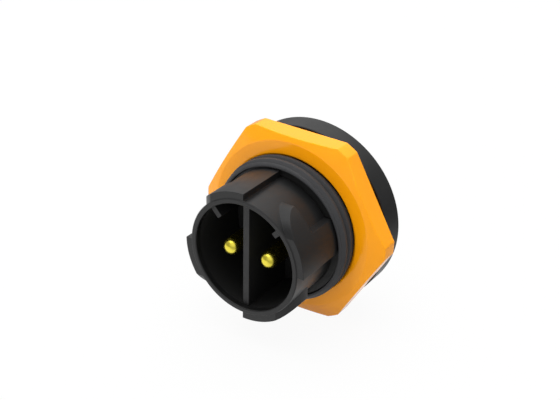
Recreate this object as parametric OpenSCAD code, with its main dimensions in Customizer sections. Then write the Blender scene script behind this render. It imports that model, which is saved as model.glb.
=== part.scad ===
// Waterproof circular connector: a two-pin panel receptacle with a bayonet nose.
// Every sub-part is drawn nose up: Z = 0 is the panel seat on the flange, +Z runs to the nose's rim
// and X-Y is the connector's face. At the end the whole is laid along Y with its nose towards -Y.

/* [Thread and collar] */
// Major diameter of the panel thread
thread_d = 25; // [18:0.5:40]
// Depth of the thread; the collar is drawn at the thread's root
thread_depth = 0.55; // [0.3:0.05:0.9]
// Wall of the collar under the thread
collar_wall = 0.5; // [0.3:0.1:1.2]
// Height of the collar above the panel seat
collar_h = 7.5; // [6:0.1:16]
// Lead-in chamfer at the collar's front edge
collar_edge = 0.15; // [0.05:0.05:0.2]

/* [Nose] */
// Height of the nose's rim above the collar
nose_h = 10.1; // [7:0.1:20]
// Wall of the nose tube
nose_wall = 0.9; // [0.5:0.1:1.6]
// Edge chamfer round the outside of the rim
rim_edge = 0.15; // [0.05:0.05:0.2]
// Lead-in chamfer at the socket's mouth
mouth_edge = 0.15; // [0.05:0.05:0.4]
// Depth of the well round the nose, below the collar's front
well_depth = 1.7; // [1.2:0.1:4]

/* [Bayonet ribs] */
// Number of ribs round the nose
rib_count = 4; // [3:1:4]
// Height of a rib above the nose tube
rib_h = 1.1; // [0.6:0.1:2]
// Gap between the ribs and the collar's bore
rib_gap = 0.2; // [0.2:0.1:1]
// Width of the straight rib, square to its straight side
rib_w = 5.6; // [4.5:0.1:7]
// Depth of the hook's locking face below the rim
hook_depth = 4.7; // [3.5:0.1:6]
// How far the hook's tip stays inside the radius of the nose tube
hook_inset = 0.85; // [0.5:0.05:1.5]
// How far the circle that rounds the hook's end reaches above the rim
hook_crown = 0.25; // [0:0.05:1]
// How far the ribs stop short of the rim
rib_setback = 0.15; // [0.1:0.05:0.6]

/* [Coding keys and partition] */
// Angle of each coding key from the vertical, in degrees
key_angle = 44; // [25:1:70]
// Width of a coding key
key_w = 0.95; // [0.6:0.05:2]
// Height of a coding key above the bore's wall
key_h = 1.9; // [0.8:0.1:2.5]
// Thickness of the partition between the contacts
partition_t = 1.1; // [0.8:0.05:2]
// Depth of the partition's and the keys' front edges below the rim
partition_recess = 1; // [0.4:0.1:2]

/* [Flange] */
// How far the flange reaches beyond the thread
flange_lip = 3.4; // [3:0.1:8]
// Thickness of the flange
flange_t = 4.2; // [2.5:0.1:8]
// Rounding of the flange's edges
flange_round = 0.2; // [0.1:0.1:1]
// Length of the rear boss behind the flange
rear_h = 3.7; // [2.5:0.1:12]
// Wall of the rear boss
rear_wall = 2; // [1:0.1:2.5]
// Edge chamfer round the rear boss
rear_edge = 0.4; // [0.1:0.1:0.8]

/* [Contact insert] */
// Seat of the insert's lip, above the panel seat
seat_h = 0.6; // [0:0.1:1.5]
// Height of the insert above its seat, up to the socket's floor
insert_h = 5.5; // [3:0.1:8]
// Lip that holds the insert against its seat
insert_lip = 0.75; // [0.4:0.05:1.2]
// Thickness of the insert's lip
insert_lip_t = 2; // [1.8:0.1:3]
// Distance between the two contacts
pin_spacing = 7.2; // [6:0.1:9]
// Depth of the potting's surface inside the rear boss
potting_recess = 1; // [0.3:0.1:2]

/* [Contacts] */
// Diameter of a contact pin
pin_d = 2.9; // [1.6:0.1:3.3]
// Diameter of a contact inside the insert
neck_d = 3.6; // [3.4:0.1:4.2]
// Depth of the pins' tips below the rim
pin_recess = 0.9; // [0.5:0.1:6]
// Diameter of the shoulder that locks a contact in the insert
shoulder_d = 4.8; // [4.4:0.1:5.6]
// Thickness of that shoulder
shoulder_t = 1.5; // [0.8:0.1:1.8]
// Diameter of the solder cup
cup_d = 3.4; // [2.4:0.1:3.8]
// Bore of the solder cup
cup_bore_d = 2.4; // [1.4:0.1:2.6]
// Depth of the solder cup's bore
cup_bore_h = 4.5; // [3:0.1:6]
// Length of the solder cup behind the rear boss
cup_h = 4.5; // [2:0.1:10]
// Length of the cup's side opening
cup_slot_h = 2.6; // [1:0.1:2.9]

/* [Seals] */
// Width of the flange gasket's ring
gasket_w = 2; // [1.2:0.1:2.4]
// Thickness of the flange gasket
gasket_t = 1.5; // [1.4:0.1:2.5]
// Depth of the gasket's groove in the flange
gasket_recess = 1.2; // [0.3:0.1:1.3]
// Thickness of the mating seal on the well's floor
seal_t = 1.5; // [0.8:0.1:1.8]

/* [Panel nut] */
// Wall of the nut from the thread to a flat
nut_wall = 3.25; // [2.6:0.05:8]
// Thickness of the nut
nut_t = 4; // [3:0.1:8]
// Width of the flat ring round the nut's front
nut_ring_w = 2.35; // [1.4:0.05:2.4]
// Angle of the chamfer from that ring to the corners, in degrees
nut_chamfer = 20; // [10:1:35]
// How far the nut's corners are turned down
nut_corner_cut = 0.6; // [0.2:0.05:1]
// Turn of the nut as it was left, in degrees
nut_turn = -0.5; // [-30:0.5:30]

/* [Clearances] */
// Gap between the nut's back and the gasket
nut_gap = 0.1; // [0.1:0.1:2]
// Running clearance of the nut on the collar, on the radius
thread_clear = 0.05; // [0.02:0.01:0.1]
// Clearance round the pieces that sit in the housing, on the radius
seat_clear = 0.05; // [0.03:0.01:0.1]
// Gap between the feet of the ribs and keys and the piece below them
foot_gap = 0.2; // [0.1:0.05:0.5]

/* [Hidden] */
$fn = 96;
// Cuts run past the faces that they open, and joined shapes run into each other, by this much
over = 0.2;

// Radii, from the thread inwards
thread_r = thread_d / 2;
root_r = thread_r - thread_depth;
collar_bore_r = root_r - collar_wall;
rib_r = collar_bore_r - rib_gap;
nose_r = rib_r - rib_h;
bore_r = nose_r - nose_wall;
// Radii, from the thread outwards
flange_r = thread_r + flange_lip;
gasket_in_r = thread_r + seat_clear;
gasket_out_r = gasket_in_r + gasket_w;
groove_r = gasket_out_r + seat_clear;
pocket_r = bore_r + insert_lip;
rear_r = pocket_r + rear_wall;

// Heights along the axis, from the panel seat
rim_z = collar_h + nose_h;
well_z = collar_h - well_depth;
insert_z = seat_h + insert_h;
lip_z = seat_h - insert_lip_t;
rear_z = -flange_t - rear_h;
potting_z = rear_z + potting_recess;
rib_low_z = well_z + seal_t + foot_gap;
rib_top_z = rim_z - rib_setback;
hook_z = rim_z - hook_depth;
// The hook's reach from the rib's straight side, and the circle that rounds its end
hook_reach = nose_r - hook_inset;
hook_r = hook_depth + hook_crown;
key_top_z = rim_z - partition_recess;
nut_z = gasket_t - gasket_recess + nut_gap;

// Points of a quarter circle of radius r about (x, y), clockwise from angle a
function quarter(x, y, r, a) = [for (t = [0 : 22.5 : 90]) [x + r * cos(a - t), y + r * sin(a - t)]];

// Lays a piece that is drawn nose up along Y, with its nose towards -Y
module laid() {
    rotate([90, 0, 0]) children();
}

// A plain ring
module ring(r0, r1, z0, z1) {
    difference() {
        translate([0, 0, z0]) cylinder(r = r1, h = z1 - z0);
        translate([0, 0, z0 - over]) cylinder(r = r0, h = z1 - z0 + 2 * over);
    }
}

// Housing: nose tube, well, collar, flange and rear boss, as one turned section
module housing_section() {
    polygon(concat(
        [
            [bore_r, seat_h],
            [bore_r, rim_z - mouth_edge],
            [bore_r + mouth_edge, rim_z],
            [nose_r - rim_edge, rim_z],
            [nose_r, rim_z - rim_edge],
            [nose_r, well_z],
            [collar_bore_r, well_z],
            [collar_bore_r, collar_h - collar_edge],
            [collar_bore_r + collar_edge, collar_h],
            [root_r, collar_h],
            [root_r, -gasket_recess],
            [groove_r, -gasket_recess],
            [groove_r, 0]
        ],
        quarter(flange_r - flange_round, -flange_round, flange_round, 90),
        quarter(flange_r - flange_round, flange_round - flange_t, flange_round, 0),
        [
            [rear_r, -flange_t],
            [rear_r, rear_z + rear_edge],
            [rear_r - rear_edge, rear_z],
            [pocket_r, rear_z],
            [pocket_r, seat_h]
        ]
    ));
}

// Side view of a rib: a straight bar down to the mating seal and a hook with a round end
module rib_outline() {
    translate([0, rib_low_z]) square([rib_w, rib_top_z - rib_low_z]);
    intersection() {
        translate([0, hook_z]) square([hook_reach, rib_top_z - hook_z]);
        union() {
            translate([0, hook_z]) square([hook_reach - hook_r, hook_r]);
            translate([hook_reach - hook_r, hook_z]) circle(r = hook_r);
        }
    }
}

// Bayonet rib: the ring round the nose, cut to the rib's side view by a straight pull
module bayonet_rib() {
    intersection() {
        ring(nose_r - nose_wall / 2, rib_r, rib_low_z, rib_top_z);
        rotate([90, 0, 90]) linear_extrude(rib_r + over) rib_outline();
    }
}

// Coding key: a straight bar on the bore's wall
module coding_key(a) {
    rotate([0, 0, a])
        translate([bore_r - key_h, -key_w / 2, insert_z + foot_gap])
            cube([key_h + nose_wall / 2, key_w, key_top_z - insert_z - foot_gap]);
}

module housing() {
    color([0.20, 0.20, 0.21])
        laid()
            union() {
                rotate_extrude() housing_section();
                for (i = [0 : rib_count - 1])
                    rotate([0, 0, i * 360 / rib_count]) bayonet_rib();
                for (side = [-1, 1])
                    coding_key(90 + side * key_angle);
            }
}

// Contact insert: a lipped plug in the housing's bore with the partition standing on it
module contact_insert() {
    plug_r = bore_r - seat_clear;
    wall_h = key_top_z - insert_z + over;
    color([0.08, 0.08, 0.09])
        laid()
            difference() {
                union() {
                    translate([0, 0, lip_z]) cylinder(r = plug_r, h = insert_z - lip_z);
                    translate([0, 0, lip_z]) cylinder(r = pocket_r - seat_clear, h = insert_lip_t);
                    translate([0, 0, insert_z - over])
                        intersection() {
                            cylinder(r = plug_r, h = wall_h);
                            translate([-partition_t / 2, -bore_r, 0]) cube([partition_t, 2 * bore_r, wall_h]);
                        }
                }
                for (side = [-1, 1])
                    translate([side * pin_spacing / 2, 0, 0]) {
                        translate([0, 0, lip_z - over])
                            cylinder(d = neck_d + 2 * seat_clear, h = insert_z - lip_z + 2 * over);
                        translate([0, 0, lip_z - over])
                            cylinder(d = shoulder_d + 2 * seat_clear, h = shoulder_t + over);
                    }
            }
}

// Contact: a round-ended pin on a thicker neck, a locking shoulder and a solder cup open on its upper side
module contact(side) {
    tip_z = rim_z - pin_recess;
    cup_z = rear_z - cup_h;
    pin_r = pin_d / 2;
    color([0.86, 0.72, 0.30])
        laid()
            translate([side * pin_spacing / 2, 0, 0])
                difference() {
                    union() {
                        translate([0, 0, insert_z]) cylinder(r = pin_r, h = tip_z - pin_r - insert_z);
                        translate([0, 0, lip_z]) cylinder(d = neck_d, h = insert_z - lip_z);
                        translate([0, 0, tip_z - pin_r]) sphere(r = pin_r);
                        translate([0, 0, lip_z]) cylinder(d = shoulder_d, h = shoulder_t);
                        translate([0, 0, cup_z]) cylinder(d = cup_d, h = lip_z - cup_z);
                    }
                    translate([0, 0, cup_z - over]) cylinder(d = cup_bore_d, h = cup_bore_h + over);
                    translate([-cup_d, 0, cup_z - over]) cube([2 * cup_d, cup_d, cup_slot_h + over]);
                }
}

module contact_left() {
    contact(-1);
}

module contact_right() {
    contact(1);
}

// Rear potting: the cast seal that fills the rear boss behind the insert
module rear_potting() {
    color([0.12, 0.12, 0.13])
        laid()
            difference() {
                translate([0, 0, potting_z]) cylinder(r = pocket_r - seat_clear, h = lip_z - potting_z);
                for (side = [-1, 1])
                    translate([side * pin_spacing / 2, 0, potting_z - over])
                        cylinder(d = cup_d + 2 * seat_clear, h = lip_z - potting_z + 2 * over);
            }
}

// Mating seal: the flat ring on the well's floor that the plug's sleeve presses on
module mating_seal() {
    color([0.06, 0.06, 0.06])
        laid() ring(nose_r + seat_clear, collar_bore_r - seat_clear, well_z, well_z + seal_t);
}

// Flange gasket: the flat ring in the flange's groove that seals against the panel
module flange_gasket() {
    color([0.06, 0.06, 0.06])
        laid() ring(gasket_in_r, gasket_out_r, -gasket_recess, gasket_t - gasket_recess);
}

// Panel nut: a hexagon whose front is chamfered from a flat ring out to turned-down corners
module panel_nut() {
    flat_r = thread_r + nut_wall;
    corner_r = flat_r / cos(30) - nut_corner_cut;
    ring_r = thread_r + nut_ring_w;
    bore = root_r + thread_clear;
    lead = thread_r + thread_clear - bore;
    front_z = nut_z + nut_t;
    corner_z = front_z - (corner_r - ring_r) * tan(nut_chamfer);
    color([1.0, 0.62, 0.12])
        laid()
            rotate([0, 0, nut_turn])
                difference() {
                    intersection() {
                        translate([0, 0, nut_z]) cylinder(r = flat_r / cos(30), h = nut_t, $fn = 6);
                        rotate_extrude()
                            polygon([
                                [0, nut_z],
                                [corner_r, nut_z],
                                [corner_r, corner_z],
                                [ring_r, front_z],
                                [0, front_z]
                            ]);
                    }
                    translate([0, 0, nut_z - over]) cylinder(r = bore, h = nut_t + 2 * over);
                    translate([0, 0, front_z - lead])
                        cylinder(r1 = bore, r2 = bore + 2 * lead, h = 2 * lead);
                    translate([0, 0, nut_z - lead])
                        cylinder(r1 = bore + 2 * lead, r2 = bore, h = 2 * lead);
                }
}

housing();
contact_insert();
contact_left();
contact_right();
rear_potting();
mating_seal();
flange_gasket();
panel_nut();
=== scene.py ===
# Looks of the panel connector: camera and studio, thread and nut, moulded, rubber and plated finishes.
import math

import bpy
import numpy as np
from mathutils import Matrix, Vector


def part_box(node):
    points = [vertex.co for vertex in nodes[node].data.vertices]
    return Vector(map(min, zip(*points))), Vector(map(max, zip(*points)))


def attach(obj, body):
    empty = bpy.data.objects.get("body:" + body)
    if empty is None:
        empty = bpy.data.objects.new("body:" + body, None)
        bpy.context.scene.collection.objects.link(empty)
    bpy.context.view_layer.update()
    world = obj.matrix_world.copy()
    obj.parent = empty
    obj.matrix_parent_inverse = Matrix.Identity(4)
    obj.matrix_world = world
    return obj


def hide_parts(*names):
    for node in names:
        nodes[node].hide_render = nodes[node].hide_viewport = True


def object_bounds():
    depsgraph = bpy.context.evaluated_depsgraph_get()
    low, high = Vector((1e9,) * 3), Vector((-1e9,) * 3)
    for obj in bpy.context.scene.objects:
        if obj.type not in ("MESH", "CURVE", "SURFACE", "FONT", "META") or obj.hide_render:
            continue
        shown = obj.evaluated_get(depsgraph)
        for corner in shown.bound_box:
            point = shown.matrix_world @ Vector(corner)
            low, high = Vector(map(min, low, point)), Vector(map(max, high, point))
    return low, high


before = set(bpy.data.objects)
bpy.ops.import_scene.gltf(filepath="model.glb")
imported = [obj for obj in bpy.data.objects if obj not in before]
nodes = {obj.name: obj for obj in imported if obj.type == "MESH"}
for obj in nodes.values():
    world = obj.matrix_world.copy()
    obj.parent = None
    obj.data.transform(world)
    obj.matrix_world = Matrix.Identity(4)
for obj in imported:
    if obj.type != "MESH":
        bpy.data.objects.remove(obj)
cadLow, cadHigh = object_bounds()
mm = 0.001
nutLow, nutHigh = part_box("panel_nut")
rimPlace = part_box("housing")[0].y  # of the nose's rim, along Y
print("frame loaded:", len(nodes), "nodes")


# Meshes from grids of points

def gridMesh(name, points):
    # Each cell of the (rows, columns) grid is one quad, and both directions close on themselves.
    rows, columns = points.shape[:2]
    index = np.arange(rows * columns).reshape(rows, columns)
    right = np.roll(index, -1, axis=1)
    quads = np.stack([index, right, np.roll(right, -1, axis=0), np.roll(index, -1, axis=0)], axis=-1)
    corners = points.reshape(-1, 3)[quads.reshape(-1, 4)]
    crossed = np.cross(corners[:, 2] - corners[:, 0], corners[:, 3] - corners[:, 1])
    if (corners.mean(axis=1) * crossed).sum() < 0:  # the quads face inwards
        quads = quads[..., ::-1]
    mesh = bpy.data.meshes.new(name)
    mesh.from_pydata(points.reshape(-1, 3).tolist(), [], quads.reshape(-1, 4).tolist())
    mesh.shade_smooth()
    piece = bpy.data.objects.new(name, mesh)
    bpy.context.scene.collection.objects.link(piece)
    return piece


def roundTurn(radius, along, angle):
    # A point at that radius and angle about the connector's axis, at that place along Y.
    return np.stack([radius * np.cos(angle), along + 0 * angle, radius * np.sin(angle)], axis=-1)


def roundCorners(corners, radius, steps):
    # Each corner of a closed outline becomes a quadratic curve that starts and ends one radius away from it.
    back = np.roll(corners, 1, axis=-2) - corners
    ahead = np.roll(corners, -1, axis=-2) - corners
    begin = corners + radius * back / np.linalg.norm(back, axis=-1, keepdims=True)
    end = corners + radius * ahead / np.linalg.norm(ahead, axis=-1, keepdims=True)
    s = np.linspace(0, 1, steps)[:, None]
    curves = ((1 - s) ** 2 * begin[..., None, :] + 2 * s * (1 - s) * corners[..., None, :]
              + s ** 2 * end[..., None, :])
    return curves.reshape(*corners.shape[:-2], -1, 2)


def flattenFaces(piece, weight):
    # Large faces turn the normals at their corners the most, so flats stay flat beside rounded edges.
    weighted = piece.modifiers.new("flatFaces", "WEIGHTED_NORMAL")
    weighted.weight = weight


# Thread on the collar, with the rounded lip that leads into it

collarThread = {
    "majorRadius": 12.5 * mm,
    "depth": 0.55 * mm,
    "pitch": 1.5 * mm,
    "crestEdge": 0.3,          # of half a pitch, from the middle of the crest
    "rootEdge": 0.9,
    "front": -7.53 * mm,       # just clear of the collar's front edge
    "frontChamfer": 0.54 * mm,
    "lip": ((11.5, -7.38), (11.48, -7.55), (11.5, -7.64),    # radius and place along Y, in mm
            (11.57, -7.69), (11.68, -7.69), (11.93, -7.56)),
    "sunk": 0.02 * mm,         # how far its inside lies in the collar
    "nutGap": 0.05 * mm,       # left in the mouth of the nut
    "turnSteps": 288,
    "rowsPerPitch": 28,
}


def threadProfile(spec, turns):
    # Height of the thread over one pitch, 0 to 1: flat root, straight flank, flat crest, straight flank.
    place = np.abs((turns % 1.0) - 0.5) * 2  # 0 at the middle of the crest, 1 at the middle of the root
    return np.clip((spec["rootEdge"] - place) / (spec["rootEdge"] - spec["crestEdge"]), 0, 1)


def buildThread(spec):
    # Radius = root + depth * profile(distance along the axis / pitch - angle / full turn),
    # cut by a cone at each end. The lip's section goes once round ahead of it.
    rootRadius = spec["majorRadius"] - spec["depth"]
    back = nutLow.y + spec["depth"]
    rows = int(round((back - spec["front"]) / spec["pitch"] * spec["rowsPerPitch"]))
    angle = np.linspace(0, 2 * math.pi, spec["turnSteps"], endpoint=False)[None, :]
    along = np.linspace(spec["front"], back, rows)[:, None]
    radius = rootRadius + spec["depth"] * threadProfile(spec, along / spec["pitch"] - angle / (2 * math.pi))
    frontCone = spec["majorRadius"] - spec["frontChamfer"] + along - spec["front"]
    backCone = rootRadius + back - along - spec["nutGap"]
    radius = np.minimum(radius, np.minimum(frontCone, backCone))
    inside = rootRadius - spec["sunk"]
    radius = np.maximum(radius, inside)
    shell = roundTurn(radius, along, angle)
    lipRadius, lipPlace = np.array(spec["lip"]).T[:, :, None] * mm
    lip = roundTurn(lipRadius + 0 * angle, lipPlace, angle)
    end = roundTurn(inside + 0 * angle, back, angle)
    thread = gridMesh("collar_thread", np.concatenate([lip, shell, end]))
    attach(thread, "shell")
    return thread


# Panel nut with rounded edges

panelNut = {
    "boreRadius": 12.0 * mm,
    "mouthRadius": 12.65 * mm,
    "ringRadius": 14.85 * mm,
    "flatRadius": 15.75 * mm,
    "cornerRadius": 17.587 * mm,
    "sides": 6,
    "chamferDeg": 20,
    "turnDeg": -0.5,
    "cornerBlend": 0.015 * mm,   # how softly a flat runs into a corner
    "edgeRound": 0.14 * mm,
    "edgeSteps": 5,
    "flatSteps": 24,
    "cornerSteps": 22,
    "flatWeight": 90,
}


def hexRadius(spec, sector):
    # Distance to a hexagon's flat at an angle from its middle, softly limited by the turned-down corner.
    flat = spec["flatRadius"] / np.cos(sector)
    blend = spec["cornerBlend"]
    return -blend * np.logaddexp(-flat / blend, -spec["cornerRadius"] / blend)


def buildNut(spec):
    # At each angle the section runs over the ring, down the cone, over the flat and back through the bore.
    meet = math.acos(spec["flatRadius"] / spec["cornerRadius"])
    half = math.pi / spec["sides"]
    spread = half - meet
    side = np.concatenate([
        np.linspace(0, meet - spread, spec["flatSteps"], endpoint=False),
        np.linspace(meet - spread, half, spec["cornerSteps"], endpoint=False),
    ])
    sector = np.concatenate([-half + 0 * side[:1], -side[:0:-1], side])
    middles = half * (2 * np.arange(spec["sides"]) + 1) + math.radians(spec["turnDeg"])
    angle = (sector[None, :] + middles[:, None]).ravel()
    outer = np.tile(hexRadius(spec, sector), spec["sides"])
    front, back = nutLow.y, nutHigh.y
    lead = spec["mouthRadius"] - spec["boreRadius"]
    slope = math.tan(math.radians(spec["chamferDeg"]))
    flat = np.ones_like(outer)
    section = np.stack([
        np.stack([spec["mouthRadius"] * flat, front * flat], axis=-1),
        np.stack([spec["ringRadius"] * flat, front * flat], axis=-1),
        np.stack([outer, front + (outer - spec["ringRadius"]) * slope], axis=-1),
        np.stack([outer, back * flat], axis=-1),
        np.stack([spec["mouthRadius"] * flat, back * flat], axis=-1),
        np.stack([spec["boreRadius"] * flat, (back - lead) * flat], axis=-1),
        np.stack([spec["boreRadius"] * flat, (front + lead) * flat], axis=-1),
    ], axis=1)
    rounded = roundCorners(section, spec["edgeRound"], spec["edgeSteps"])
    nut = gridMesh("nut_rounded", roundTurn(rounded[..., 0], rounded[..., 1], angle[:, None]))
    flattenFaces(nut, spec["flatWeight"])
    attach(nut, "nut")
    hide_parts("panel_nut")
    return nut


threadPiece = buildThread(collarThread)
nutPiece = buildNut(panelNut)
print("thread and nut built")


# Finishes

noiseFrom, noiseTo = 0.3, 0.7  # most of the noise lies between these


def startFinish(name, color, roughness, metallic=0.0, specular=0.5):
    # A new material with its shader's own sockets set, and the place on the piece for what varies.
    finish = bpy.data.materials.new(name)
    finish.use_nodes = True
    tree = finish.node_tree
    shader = tree.nodes["Principled BSDF"]
    shader.inputs["Base Color"].default_value = (*color, 1.0)
    shader.inputs["Roughness"].default_value = roughness
    shader.inputs["Metallic"].default_value = metallic
    shader.inputs["Specular IOR Level"].default_value = specular
    place = tree.nodes.new("ShaderNodeTexCoord").outputs["Object"]
    return finish, tree, shader, place


def spreadOver(tree, value, limits):
    # A straight line through limits = from, to, and the result at each, flat beyond them.
    spread = tree.nodes.new("ShaderNodeMapRange")
    for name, limit in zip(("From Min", "From Max", "To Min", "To Max"), limits):
        spread.inputs[name].default_value = limit
    tree.links.new(value, spread.inputs["Value"])
    return spread.outputs["Result"]


def noiseBetween(tree, place, size, low, high):
    # Cloudy values from low to high, with clouds of about that size.
    noise = tree.nodes.new("ShaderNodeTexNoise")
    noise.inputs["Scale"].default_value = 1 / size
    tree.links.new(place, noise.inputs["Vector"])
    return spreadOver(tree, noise.outputs["Fac"], (noiseFrom, noiseTo, low, high))


def colorBetween(tree, value, first, second):
    # The first colour where the value is 0, the second where it is 1.
    ramp = tree.nodes.new("ShaderNodeValToRGB")
    ramp.color_ramp.elements[0].color = (*first, 1.0)
    ramp.color_ramp.elements[1].color = (*second, 1.0)
    tree.links.new(value, ramp.inputs["Fac"])
    return ramp.outputs["Color"]


def addBump(tree, height, depth, under=None):
    # Relief of that depth, on top of the normal under it.
    bump = tree.nodes.new("ShaderNodeBump")
    bump.inputs["Distance"].default_value = depth
    bump.inputs["Strength"].default_value = 1.0
    tree.links.new(height, bump.inputs["Height"])
    if under is not None:
        tree.links.new(under, bump.inputs["Normal"])
    return bump.outputs["Normal"]


def softEdges(tree, radius, samples=6):
    # Normals that turn over each sharp edge within that radius.
    edges = tree.nodes.new("ShaderNodeBevel")
    edges.samples = samples
    edges.inputs["Radius"].default_value = radius
    return edges.outputs["Normal"]


def calculate(tree, operation, first, second):
    # One math step on two values, each a number or another node's result.
    step = tree.nodes.new("ShaderNodeMath")
    step.operation = operation
    for socket, value in zip(step.inputs, (first, second)):
        if isinstance(value, (int, float)):
            socket.default_value = value
        else:
            tree.links.new(value, socket)
    return step.outputs["Value"]


def axesOf(tree, place):
    # The X, Y and Z of a place.
    axes = tree.nodes.new("ShaderNodeSeparateXYZ")
    tree.links.new(place, axes.inputs["Vector"])
    return axes.outputs


def insideSocket(tree, place, spec):
    # 1 where X squared + Z squared is within the radius squared and Y is behind the front, and 0 elsewhere.
    axes = axesOf(tree, place)
    across = calculate(tree, "MULTIPLY", axes["X"], axes["X"])
    above = calculate(tree, "MULTIPLY", axes["Z"], axes["Z"])
    near = calculate(tree, "LESS_THAN", calculate(tree, "ADD", across, above), spec["radius"] ** 2)
    return calculate(tree, "MULTIPLY", near, calculate(tree, "GREATER_THAN", axes["Y"], spec["front"]))


def mixed(tree, share, first, second, kind):
    # The first where the share is 0, and the second, which is the same all over, where it is 1.
    mix = tree.nodes.new("ShaderNodeMix")
    mix.data_type = kind
    sockets = {socket.identifier: socket for socket in mix.inputs}
    ending = {"FLOAT": "Float", "RGBA": "Color"}[kind]
    tree.links.new(share, sockets["Factor_Float"])
    tree.links.new(first, sockets["A_" + ending])
    sockets["B_" + ending].default_value = second
    return next(socket for socket in mix.outputs if socket.identifier == "Result_" + ending)


def mouldedPlastic(spec):
    # Colour and roughness drift in soft clouds, under long waves of the surface and a fine grain.
    finish, tree, shader, place = startFinish(spec["name"], spec["color"], spec["roughness"][0],
                                              specular=spec["specular"])
    clouds = noiseBetween(tree, place, spec["cloudSize"], 0.0, 1.0)
    color = colorBetween(tree, clouds, spec["color"], spec["paler"])
    roughness = noiseBetween(tree, place, spec["cloudSize"] / 3, *spec["roughness"])
    # In the socket the colour is darkened as painted shade, and the roughness raised.
    if "socket" in spec:
        paintedShadeShare = insideSocket(tree, place, spec["socket"])
        color = mixed(tree, paintedShadeShare, color, (*spec["socket"]["color"], 1.0), "RGBA")
        roughness = mixed(tree, paintedShadeShare, roughness, spec["socket"]["roughness"], "FLOAT")
    tree.links.new(color, shader.inputs["Base Color"])
    tree.links.new(roughness, shader.inputs["Roughness"])
    normal = softEdges(tree, spec["edge"]) if spec["edge"] else None
    waves = noiseBetween(tree, place, spec["waveSize"], 0.0, 1.0)
    normal = addBump(tree, waves, spec["waveDepth"], normal)
    grain = noiseBetween(tree, place, spec["grainSize"], 0.0, 1.0)
    normal = addBump(tree, grain, spec["grainDepth"], normal)
    tree.links.new(normal, shader.inputs["Normal"])
    return finish


# Deep in the socket the moulding is duller, and its colour there is darkened as painted shade in the cavity.
socketPaintedShade = {"radius": 9.3 * mm, "front": -16.55 * mm, "color": (0.0038, 0.0038, 0.0038), "roughness": 0.7}
satinBlack = {
    "name": "satinBlack", "color": (0.0056, 0.0056, 0.0058), "paler": (0.0076, 0.0076, 0.0078),
    "specular": 0.43, "roughness": (0.35, 0.42), "cloudSize": 6 * mm, "edge": 0.12 * mm,
    "waveSize": 4 * mm, "waveDepth": 0.01 * mm, "grainSize": 0.12 * mm, "grainDepth": 0.001 * mm,
}
housingFinish = mouldedPlastic({**satinBlack, "socket": socketPaintedShade})
# The collar's thread is the housing's black plastic with less gloss and a paler colour; the paler colour is
# painted light on its lead-in band.
paintedPalerThreadFinish = mouldedPlastic({
    **satinBlack, "name": "threadBlackPaintedPaler", "color": (0.038, 0.038, 0.04), "paler": (0.043, 0.043, 0.045),
    "specular": 0.12, "roughness": (0.42, 0.5), "edge": 0,
})
insertFinish = mouldedPlastic({
    "name": "mattBlack", "color": (0.008, 0.008, 0.0085), "paler": (0.010, 0.010, 0.0105), "specular": 0.45,
    "roughness": (0.42, 0.52), "cloudSize": 5 * mm, "edge": 0.1 * mm, "socket": socketPaintedShade,
    "waveSize": 4 * mm, "waveDepth": 0.005 * mm, "grainSize": 0.15 * mm, "grainDepth": 0.003 * mm,
})
nutFinish = mouldedPlastic({
    "name": "smoothOrange", "color": (0.93, 0.335, 0.002), "paler": (0.96, 0.355, 0.003), "specular": 0.36,
    "roughness": (0.09, 0.14), "cloudSize": 7 * mm, "edge": 0,
    "waveSize": 6 * mm, "waveDepth": 0.006 * mm, "grainSize": 0.2 * mm, "grainDepth": 0.0006 * mm,
})
pottingFinish = mouldedPlastic({
    "name": "castResin", "color": (0.009, 0.009, 0.009), "paler": (0.014, 0.014, 0.014), "specular": 0.5,
    "roughness": (0.18, 0.28), "cloudSize": 4 * mm, "edge": 0,
    "waveSize": 3 * mm, "waveDepth": 0.05 * mm, "grainSize": 0.5 * mm, "grainDepth": 0.003 * mm,
})
rubberFinish = mouldedPlastic({
    "name": "sealRubber", "color": (0.006, 0.006, 0.006), "paler": (0.009, 0.009, 0.009), "specular": 0.4,
    "roughness": (0.42, 0.5), "cloudSize": 3 * mm, "edge": 0.15 * mm,
    "waveSize": 3 * mm, "waveDepth": 0.02 * mm, "grainSize": 0.1 * mm, "grainDepth": 0.006 * mm,
})


def goldPlate(spec):
    # Plating that drifts in tone and gloss, over the fine rings left by turning.
    finish, tree, shader, place = startFinish(spec["name"], spec["color"], spec["roughness"][0],
                                              metallic=1.0)
    roughness = noiseBetween(tree, place, spec["cloudSize"], *spec["roughness"])
    tree.links.new(roughness, shader.inputs["Roughness"])
    clouds = noiseBetween(tree, place, spec["cloudSize"], 0.0, 1.0)
    tree.links.new(colorBetween(tree, clouds, spec["color"], spec["paler"]), shader.inputs["Base Color"])
    turning = tree.nodes.new("ShaderNodeTexWave")
    turning.bands_direction = "Y"
    turning.inputs["Scale"].default_value = spec["turningScale"]
    turning.inputs["Distortion"].default_value = spec["turningWander"]
    tree.links.new(place, turning.inputs["Vector"])
    normal = addBump(tree, turning.outputs["Fac"], spec["turningDepth"], softEdges(tree, spec["edge"]))
    tree.links.new(normal, shader.inputs["Normal"])
    return finish


contactFinish = goldPlate({
    "name": "goldPlate", "color": (0.88, 0.74, 0.07), "paler": (0.92, 0.79, 0.1),
    "roughness": (0.22, 0.3), "cloudSize": 1.2 * mm, "edge": 0.1 * mm,
    "turningScale": 900, "turningWander": 1.5, "turningDepth": 0.0008 * mm,
})

finishOf = {
    "housing": housingFinish, "contact_insert": insertFinish, "contact_left": contactFinish,
    "contact_right": contactFinish, "rear_potting": pottingFinish, "mating_seal": rubberFinish,
    "flange_gasket": rubberFinish, "panel_nut": nutFinish,
}
for nodeName, finish in finishOf.items():
    nodes[nodeName].data.materials.clear()
    nodes[nodeName].data.materials.append(finish)
threadPiece.data.materials.append(paintedPalerThreadFinish)
nutPiece.data.materials.append(nutFinish)
print("finishes set")


# Studio

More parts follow.
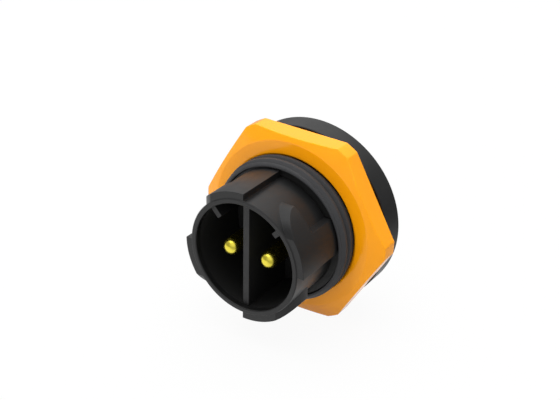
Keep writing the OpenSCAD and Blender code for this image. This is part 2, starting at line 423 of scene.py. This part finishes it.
studio = {
    "floorHalf": 3.0,
    "floorColor": (0.6, 0.6, 0.6),
    "floorRoughness": 0.9,
    "floorGlow": 0.94,         # share of the floor that the camera sees as plain white
    "worldLevel": 0.5,
    # Skies in reflections, each a level and its slope along X, Y and Z: the brightest one counts
    "mirrorSkies": (
        (-0.43, (-0.52, 0.6, 1.6)),
        (-0.6, (0.72, -0.8, 1.18)),
    ),
    "mirrorLeast": 0.4,
    # Painted shade on the floor in reflections, standing for the floor shaded near the connector.
    "paintedFloorShade": {            # along an axis: from, to, and the floor's level in reflections at each
        "X": (0.0, 0.035, 1.0, 0.45),
        "Y": (0.01, 0.06, 1.0, 0.3),
    },
}
lamps = {
    "key": {"power": 9.0, "place": (-0.1, 0.08, 0.7), "size": 0.9, "inReflections": False},
    "fill": {"power": 2.0, "place": (0.05, -0.65, 0.0), "size": 0.5, "inReflections": False},
    "spark": {"power": 1.0, "place": (-0.12, -0.24, 0.76), "size": 0.5, "inReflections": True},
}
white = (1.0, 1.0, 1.0, 1.0)


def seenRays(tree):
    # 1 for what the camera, a reflection or a clear material sees, and 0 for light that falls on a surface.
    path = tree.nodes.new("ShaderNodeLightPath")
    seen = calculate(tree, "MAXIMUM", path.outputs["Is Camera Ray"], path.outputs["Is Glossy Ray"])
    return calculate(tree, "MAXIMUM", seen, path.outputs["Is Transmission Ray"])


def whiteToCamera(tree, level):
    # At least 1 for what the camera sees, and the level itself for the rest.
    path = tree.nodes.new("ShaderNodeLightPath")
    return calculate(tree, "MAXIMUM", level, path.outputs["Is Camera Ray"])


def showInstead(tree, share, lit, shown, output):
    # Mixes the lit shader with the shown one by that share, and links the result to the output.
    mix = tree.nodes.new("ShaderNodeMixShader")
    tree.links.new(share, mix.inputs["Fac"])
    tree.links.new(lit, mix.inputs[1])
    tree.links.new(shown, mix.inputs[2])
    tree.links.new(mix.outputs["Shader"], tree.nodes[output].inputs["Surface"])


def skyInReflections(tree, spec):
    # Reflections see a sky that grows brighter upwards, most of all behind on the left and in front on the
    # right. The camera sees it white.
    place = tree.nodes.new("ShaderNodeTexCoord").outputs["Generated"]
    brightest = spec["mirrorLeast"]
    for level, slope in spec["mirrorSkies"]:
        along = tree.nodes.new("ShaderNodeVectorMath")
        along.operation = "DOT_PRODUCT"
        along.inputs[1].default_value = slope
        tree.links.new(place, along.inputs[0])
        sky = calculate(tree, "ADD", along.outputs["Value"], level)
        brightest = calculate(tree, "MAXIMUM", sky, brightest)
    return whiteToCamera(tree, brightest)


def floorInReflections(tree, place, spec):
    # Reflections see a floor that grows darker to the right and the back, painted shade for the floor near
    # the connector. The camera sees it white.
    axes = axesOf(tree, place)
    level = 1.0
    for axis, limits in spec["paintedFloorShade"].items():
        level = calculate(tree, "MULTIPLY", level, spreadOver(tree, axes[axis], limits))
    return whiteToCamera(tree, level)


def buildWorld(spec):
    # Even light falls on surfaces, and the graded sky is what shows.
    world = bpy.data.worlds.new("studio")
    bpy.context.scene.world = world
    world.use_nodes = True
    tree = world.node_tree
    light = tree.nodes["Background"]
    light.inputs["Color"].default_value = white
    light.inputs["Strength"].default_value = spec["worldLevel"]
    shown = tree.nodes.new("ShaderNodeBackground")
    shown.inputs["Color"].default_value = white
    tree.links.new(skyInReflections(tree, spec), shown.inputs["Strength"])
    share = seenRays(tree)
    showInstead(tree, share, light.outputs["Background"], shown.outputs["Background"], "World Output")


def buildFloor(spec):
    # A square at the level of the lowest point, mostly plain white, that keeps a faint shadow.
    half = spec["floorHalf"]
    level = cadLow.z
    corners = [(-half, -half, level), (half, -half, level), (half, half, level), (-half, half, level)]
    mesh = bpy.data.meshes.new("floor")
    mesh.from_pydata(corners, [], [(0, 1, 2, 3)])
    floor = bpy.data.objects.new("floor", mesh)
    bpy.context.scene.collection.objects.link(floor)
    finish, tree, shader, place = startFinish("paleFloor", spec["floorColor"], spec["floorRoughness"],
                                              specular=0.0)
    glow = tree.nodes.new("ShaderNodeEmission")
    tree.links.new(floorInReflections(tree, place, spec), glow.inputs["Strength"])
    share = calculate(tree, "MULTIPLY", seenRays(tree), spec["floorGlow"])
    showInstead(tree, share, shader.outputs["BSDF"], glow.outputs["Emission"], "Material Output")
    mesh.materials.append(finish)


def softbox(name, spec):
    # A square lamp that faces the connector.
    lamp = bpy.data.lights.new(name, "AREA")
    lamp.energy = spec["power"]
    lamp.size = spec["size"]
    box = bpy.data.objects.new(name, lamp)
    box.location = spec["place"]
    box.rotation_mode = "QUATERNION"
    box.rotation_quaternion = (-Vector(spec["place"])).to_track_quat("-Z", "Y")
    box.visible_glossy = spec["inReflections"]
    bpy.context.scene.collection.objects.link(box)


buildWorld(studio)
buildFloor(studio)
for lampName, lampSpec in lamps.items():
    softbox(lampName, lampSpec)
print("studio lit")


# Camera

cameraLook = {
    "azimuthDeg": 34.0,
    "elevationDeg": 27.6,
    "turnDeg": -1.34,              # of the view about the connector's own axis
    "lens": 68.6,
    "sensor": 36.0,
    "clipStart": 1 * mm,
    "rimDepth": 166.87 * mm,       # from the lens to the middle of the nose's rim
    "rimPixel": (242.4, 258.4),
    "imageSize": (560, 400),
}


def buildCamera(spec):
    # The camera stands back from the rim on its line of sight, moved so that the rim falls on its pixel.
    azimuth, elevation = math.radians(spec["azimuthDeg"]), math.radians(spec["elevationDeg"])
    back = Vector((math.sin(azimuth) * math.cos(elevation), -math.cos(azimuth) * math.cos(elevation),
                   math.sin(elevation)))
    right = Vector((math.cos(azimuth), math.sin(azimuth), 0))
    turn = Matrix.Rotation(math.radians(spec["turnDeg"]), 3, "Y")
    back, right = turn @ back, turn @ right
    up = back.cross(right)
    wide, high = spec["imageSize"]
    perPixel = spec["rimDepth"] * spec["sensor"] / spec["lens"] / wide
    rim = Vector((0, rimPlace, 0))
    aside = (wide / 2 - spec["rimPixel"][0]) * perPixel
    above = (spec["rimPixel"][1] - high / 2) * perPixel
    lens = bpy.data.cameras.new("camera")
    lens.lens = spec["lens"]
    lens.sensor_width = spec["sensor"]
    lens.clip_start = spec["clipStart"]
    camera = bpy.data.objects.new("camera", lens)
    camera.location = rim + back * spec["rimDepth"] + right * aside + up * above
    camera.rotation_mode = "QUATERNION"
    camera.rotation_quaternion = Matrix((right, up, back)).transposed().to_quaternion()
    bpy.context.scene.collection.objects.link(camera)
    bpy.context.scene.camera = camera


buildCamera(cameraLook)
bpy.context.scene.view_settings.view_transform = "Standard"
print("camera placed")
